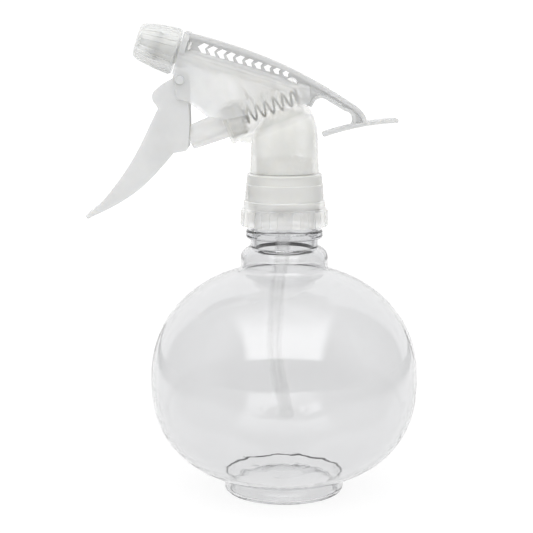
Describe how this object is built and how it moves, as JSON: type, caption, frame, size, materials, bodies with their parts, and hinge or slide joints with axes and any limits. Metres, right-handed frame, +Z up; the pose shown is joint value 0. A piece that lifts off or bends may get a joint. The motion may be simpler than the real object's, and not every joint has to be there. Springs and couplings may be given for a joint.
{
  "type": "hand mister",
  "caption": "Hand mister: clear globe bottle on a foot ring with a translucent screw-on trigger sprayer, adjustable nozzle knob and rear hanging hook.",
  "frame": {"origin": "centre of the foot ring on the surface it stands on", "axes": "+Z up along the bottle axis, the spray leaves towards -X, +Y to the left seen along the spray"},
  "size_m": [0.1274, 0.1038, 0.1818],
  "materials": {
    "clear_pet": "clear polished blown PET",
    "frosted_pp": "natural translucent polypropylene",
    "milky_pp": "milky translucent polypropylene",
    "piston_pe": "natural polyethylene",
    "seal_pe": "soft white polyethylene",
    "tube_pe": "translucent extruded polyethylene",
    "gasket_foam": "white expanded polyethylene",
    "gasket_rubber": "translucent elastomer",
    "ball_steel": "polished stainless steel",
    "spring_steel": "drawn stainless spring wire"
  },
  "bodies": {
    "bottle_body": {"bottle": "clear_pet"},
    "sprayer_head": {"pump_housing": "frosted_pp", "shroud": "milky_pp", "tube_retainer": "frosted_pp", "neck_gasket": "gasket_foam", "dip_tube": "tube_pe", "return_spring": "spring_steel", "outlet_seat": "seal_pe", "outlet_spring": "spring_steel", "swirl_core": "milky_pp"},
    "closure": {"closure_cap": "frosted_pp"},
    "trigger_lever": {"trigger": "milky_pp"},
    "piston_unit": {"piston": "piston_pe", "piston_wiper": "seal_pe", "piston_cup_seal": "seal_pe"},
    "suction_valve": {"inlet_ball": "ball_steel"},
    "outlet_valve": {"outlet_ball": "ball_steel"},
    "knob_slider": {"nozzle_seal": "gasket_rubber"},
    "nozzle_knob": {"nozzle_cap": "milky_pp", "orifice_disc": "milky_pp"}
  },
  "joints": [
    {"name": "head_lift", "type": "slide", "parent": "bottle_body", "child": "sprayer_head", "axis": [0, 0, 1], "range_m": [0, 0.00635]},
    {"name": "closure_turn", "type": "hinge", "parent": "sprayer_head", "child": "closure", "pos_m": [0, 0, 0.115], "axis": [0, 0, 1], "range_deg": [0, 540.5]},
    {"name": "trigger_squeeze", "type": "hinge", "parent": "sprayer_head", "child": "trigger_lever", "pos_m": [-0.0394, 0, 0.1608], "axis": [0, -1, 0], "range_deg": [0, 25], "stiffness_Nm_per_rad": 0.2, "springref_deg": -14.32},
    {"name": "piston_stroke", "type": "slide", "parent": "sprayer_head", "child": "piston_unit", "axis": [0.9336, 0, 0.3584], "range_m": [0, 0.00991], "deforming": ["return_spring"]},
    {"name": "inlet_lift", "type": "slide", "parent": "sprayer_head", "child": "suction_valve", "axis": [0, 0, 1], "range_m": [0, 0.0008]},
    {"name": "outlet_lift", "type": "slide", "parent": "sprayer_head", "child": "outlet_valve", "axis": [-0.9563, 0, 0.2924], "range_m": [0, 0.0008], "stiffness_N_per_m": 20, "deforming": ["outlet_spring"]},
    {"name": "knob_travel", "type": "slide", "parent": "sprayer_head", "child": "knob_slider", "axis": [-0.9563, 0, 0.2924], "range_m": [-0.00067, 0.002]},
    {"name": "knob_turn", "type": "hinge", "parent": "knob_slider", "child": "nozzle_knob", "pos_m": [-0.0409, 0, 0.1711], "axis": [-0.9563, 0, 0.2924], "range_deg": [-120, 360.5]}
  ],
  "couplings": [
    {"joint": "closure_turn", "follows": "head_lift", "rad_per_m": 1484.2},
    {"joint": "piston_stroke", "follows": "trigger_squeeze", "m_per_rad": 0.022703},
    {"joint": "knob_turn", "follows": "knob_travel", "rad_per_m": 3141.6}
  ]
}
